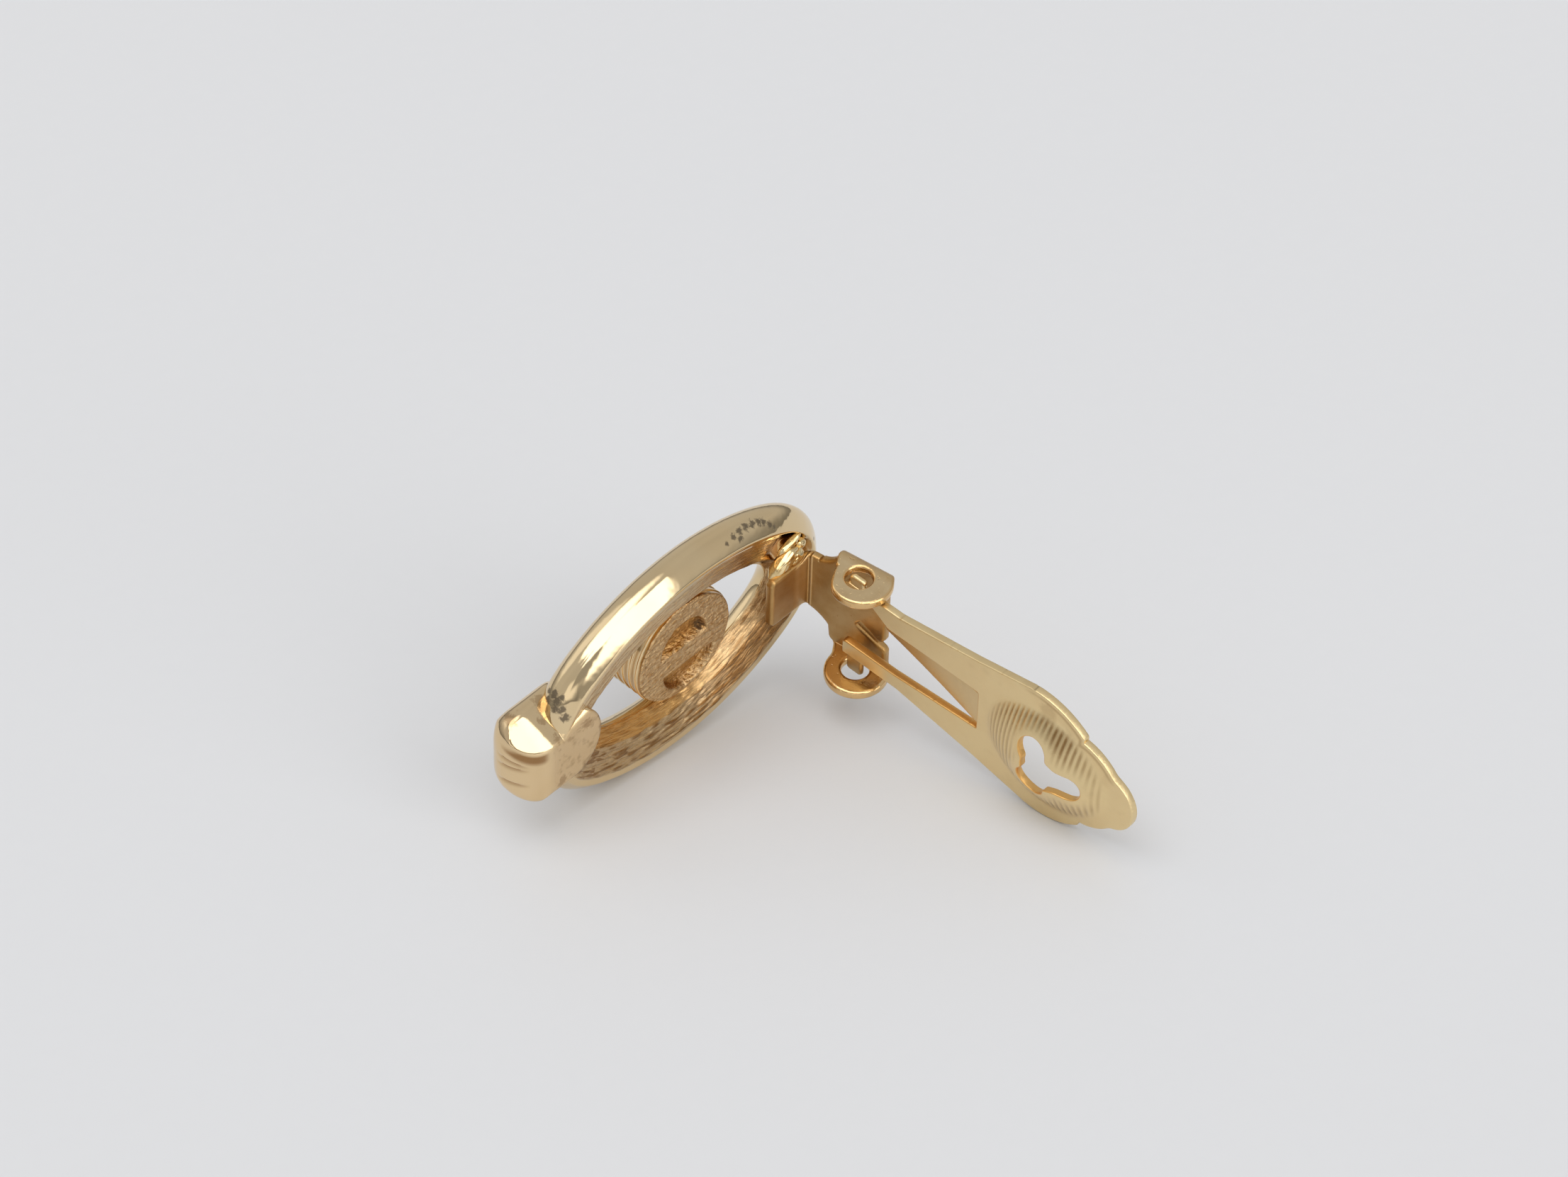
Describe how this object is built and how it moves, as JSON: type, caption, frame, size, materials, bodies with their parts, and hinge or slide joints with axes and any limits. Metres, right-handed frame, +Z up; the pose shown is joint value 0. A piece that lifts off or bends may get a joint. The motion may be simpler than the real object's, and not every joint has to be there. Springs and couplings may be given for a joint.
{
  "type": "clip-on rhinestone earring",
  "caption": "Gold-coloured clip-on earring: open oval with a set round stone and a square lug, and a hinged spring paddle behind.",
  "frame": {"origin": "centre of the base of the whole earring's box, on the surface that it lies on", "axes": "+X from the clip's end of the oval toward the lug, +Y from the jewel toward the tip of the open clip, +Z up"},
  "size_m": [0.0202, 0.0248, 0.0121],
  "materials": {
    "polished_gold": "gold-coloured plating, polished outside, satin and tarnished behind",
    "crystal": "clear faceted glass",
    "satin_gold": "satin gold-coloured plating on stamped sheet"
  },
  "bodies": {
    "jewel": {"jewel_frame": "polished_gold", "rhinestone": "crystal"},
    "clip": {"clip_paddle": "satin_gold"}
  },
  "joints": [
    {"name": "clip_hinge", "type": "hinge", "parent": "jewel", "child": "clip", "pos_m": [-0.00801, -0.00464, 0.00571], "axis": [-0.1263, -0.1757, -0.9763], "range_deg": [0, 100]}
  ]
}
